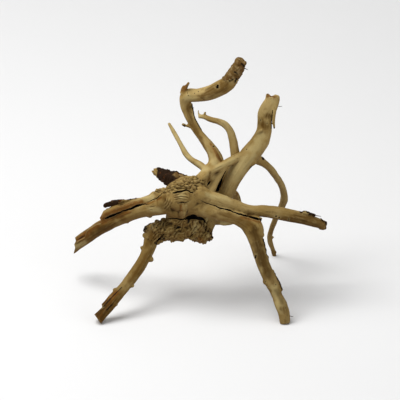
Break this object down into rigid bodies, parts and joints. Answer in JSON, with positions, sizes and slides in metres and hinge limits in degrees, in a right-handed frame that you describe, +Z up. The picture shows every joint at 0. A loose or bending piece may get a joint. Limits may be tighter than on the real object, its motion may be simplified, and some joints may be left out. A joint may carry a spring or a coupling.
{
  "type": "piece of driftwood",
  "caption": "Branching piece of driftwood that stands on three root tips: a gnarled root crown with arms, legs and curling thin roots.",
  "frame": {"origin": "on the surface that the piece stands on, under the middle of its bounding box", "axes": "+Z up; +X to the right and +Y away, as seen from in front of the two front legs"},
  "size_m": [0.3025, 0.1938, 0.3038],
  "materials": {
    "weathered_wood": "bare, weathered, matt"
  },
  "bodies": {
    "root": {"driftwood": "weathered_wood"}
  },
  "joints": []
}
